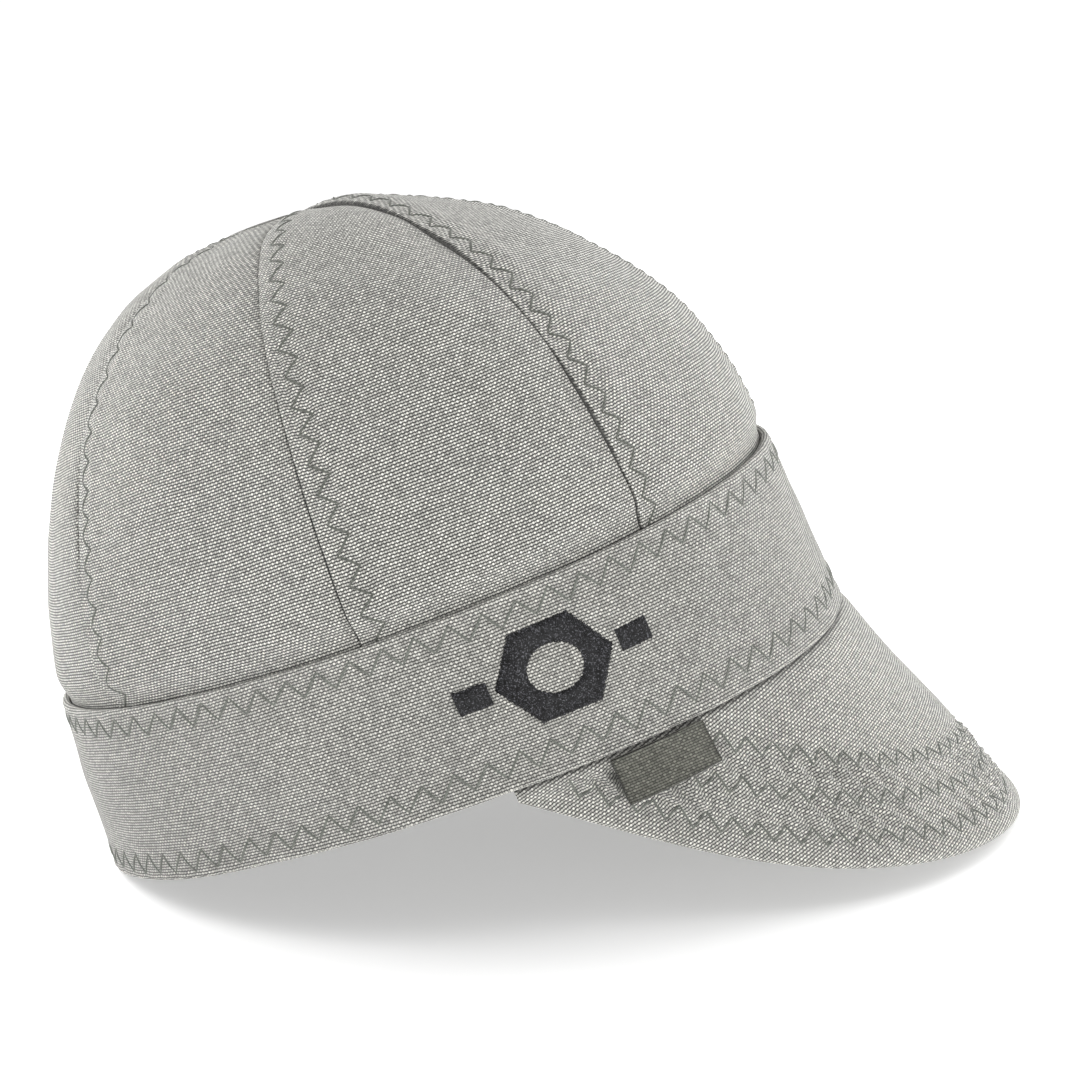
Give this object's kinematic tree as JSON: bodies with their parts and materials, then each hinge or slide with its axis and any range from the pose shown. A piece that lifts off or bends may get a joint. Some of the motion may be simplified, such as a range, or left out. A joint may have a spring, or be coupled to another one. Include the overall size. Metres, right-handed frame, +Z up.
{
  "type": "welding cap",
  "caption": "Round cloth cap of sewn panels on a deep band, with a short stitched brim turned down, for wear under a welding helmet.",
  "frame": {"origin": "middle of the cap's outer box, on the surface that it rests on", "axes": "+X towards the brim, +Y to the wearer's left, +Z up; the cap rests tipped back on the heel of its band and the edge of its brim"},
  "size_m": [0.2642, 0.1653, 0.1745],
  "materials": {
    "canvas_crown": "plain-woven cotton duck, unfinished, in a pale warm grey",
    "canvas_band": "the same cotton duck, folded double",
    "canvas_brim": "the same cotton duck in several layers, quilted by three zigzag rows",
    "label_tape": "woven tape, dark olive grey",
    "satin_thread": "black satin stitch with a soft gloss",
    "seam_thread": "zigzag sewing thread, grey green"
  },
  "bodies": {
    "root": {"band": "canvas_band", "brim": "canvas_brim", "crown_panel_front_right": "canvas_crown", "crown_panel_front_side_right": "canvas_crown", "crown_panel_back_side_right": "canvas_crown", "crown_panel_back_right": "canvas_crown", "crown_panel_front_left": "canvas_crown", "crown_panel_front_side_left": "canvas_crown", "crown_panel_back_side_left": "canvas_crown", "crown_panel_back_left": "canvas_crown", "side_label": "label_tape", "emblem_nut": "satin_thread", "emblem_bar_front": "satin_thread", "emblem_bar_back": "satin_thread"}
  },
  "joints": []
}
